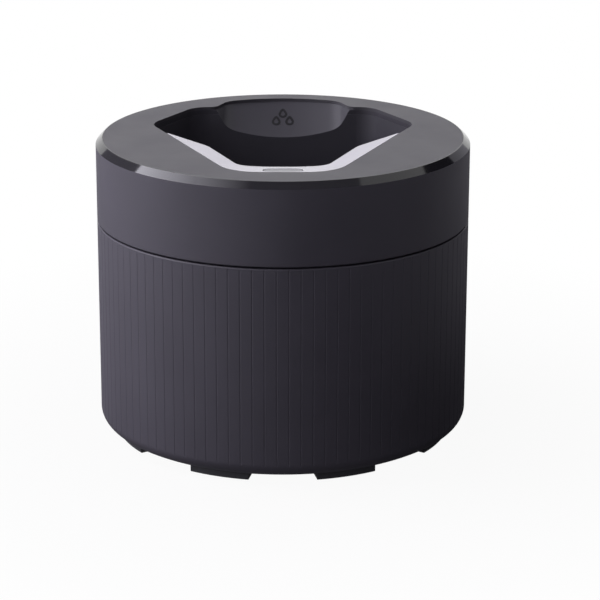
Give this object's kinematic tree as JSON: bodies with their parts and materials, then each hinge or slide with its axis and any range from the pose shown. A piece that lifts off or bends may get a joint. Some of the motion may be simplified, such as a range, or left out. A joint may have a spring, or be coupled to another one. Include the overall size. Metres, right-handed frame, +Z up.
{
  "type": "shaver cleaning station",
  "caption": "Round shaver cleaning pod: pumping top unit with an open basin and start key, over a fluted container that holds a fluid cartridge.",
  "frame": {"origin": "on the body's vertical axis, in the plane of the feet's undersides", "axes": "+Z up, -Y to the front, where the start key is, +X to the right as seen from the front"},
  "size_m": [0.112, 0.112, 0.091],
  "materials": {
    "band_satin": "satin dark grey moulded ABS with a glossy bevel",
    "deck_matte": "matte grey finely textured plate",
    "lip_gloss": "pale silver satin-gloss trim",
    "basin_gloss": "charcoal semi-gloss moulded ABS",
    "button_pill": "grey satin key cap",
    "container_fluted": "dark violet-grey fluted ABS, satin",
    "chassis_black": "black moulded ABS",
    "cover_black": "black moulded ABS, fine texture",
    "seal_rubber": "black silicone rubber",
    "foot_rubber": "black rubber",
    "spring_steel": "drawn spring steel",
    "screw_steel": "zinc-plated steel",
    "motor_steel": "nickel-plated steel can",
    "motor_cap": "white nylon end cap",
    "magnet_ferrite": "bonded ferrite",
    "armature_steel": "laminated steel with copper windings",
    "contact_nickel": "nickel-plated spring strip",
    "board_green": "green solder mask on glass epoxy",
    "chip_black": "black moulded epoxy",
    "switch_body": "black nylon",
    "cell_wrap": "plain blue film over a steel can",
    "pump_acetal": "white acetal",
    "hose_silicone": "translucent silicone rubber",
    "lead_pvc_red": "red PVC insulation",
    "lead_pvc_black": "black PVC insulation",
    "cartridge_pp": "translucent grey polypropylene",
    "lid_pp": "grey polypropylene",
    "filter_pp": "white polypropylene",
    "foam_open": "open-cell foam"
  },
  "bodies": {
    "container": {"container": "container_fluted", "rubber_feet": "foot_rubber"},
    "cartridge": {"cartridge_body": "cartridge_pp", "cartridge_lid": "lid_pp", "filter_basket": "filter_pp", "filter_foam": "foam_open"},
    "button": {"start_button": "button_pill", "button_clip": "spring_steel"},
    "switch": {"switch_plunger": "switch_body"},
    "rotor": {"motor_armature": "armature_steel", "motor_shaft": "spring_steel", "shaft_coupling": "pump_acetal", "pump_shaft": "spring_steel", "impeller": "pump_acetal"},
    "top_unit": {"top_cover": "band_satin", "deck_plate": "deck_matte", "lip_trim": "lip_gloss", "basin": "basin_gloss", "basin_gasket": "seal_rubber", "button_spring": "spring_steel", "control_board": "board_green", "tact_switch": "switch_body", "board_chips": "chip_black", "board_screws": "screw_steel", "chassis": "chassis_black", "chassis_screws": "screw_steel", "seam_seal": "seal_rubber", "drain_seal": "seal_rubber", "battery_cells": "cell_wrap", "battery_contacts": "contact_nickel", "battery_springs": "spring_steel", "battery_cover": "cover_black", "battery_cover_seal": "seal_rubber", "battery_cover_screws": "screw_steel", "motor_case": "motor_steel", "motor_end_cap": "motor_cap", "motor_terminals": "contact_nickel", "motor_magnet": "magnet_ferrite", "pump_head": "pump_acetal", "pump_screws": "screw_steel", "pump_housing": "pump_acetal", "shaft_seal": "seal_rubber", "pump_bush": "pump_acetal", "pump_intake": "pump_acetal", "supply_hose": "hose_silicone", "hose_clamps": "spring_steel", "battery_leads": "lead_pvc_red", "motor_leads": "lead_pvc_black"}
  },
  "joints": [
    {"name": "cartridge_lift", "type": "slide", "parent": "container", "child": "cartridge", "axis": [0, 0, 1], "range_m": [0, 0.07]},
    {"name": "top_lift", "type": "slide", "parent": "cartridge", "child": "top_unit", "axis": [0, 0, 1], "range_m": [0, 0.075]},
    {"name": "button_press", "type": "slide", "parent": "top_unit", "child": "button", "axis": [0, 0, -1], "range_m": [0, 0.0008], "stiffness_N_per_m": 1200, "springref_m": -0.0006, "deforming": ["button_spring"]},
    {"name": "switch_press", "type": "slide", "parent": "top_unit", "child": "switch", "axis": [0, 0, -1], "range_m": [0, 0.0008]},
    {"name": "impeller_spin", "type": "hinge", "parent": "top_unit", "child": "rotor", "pos_m": [0, 0.035, 0.03], "axis": [0, 0, 1], "continuous": true}
  ],
  "couplings": [
    {"joint": "switch_press", "follows": "button_press", "ratio": 1}
  ]
}
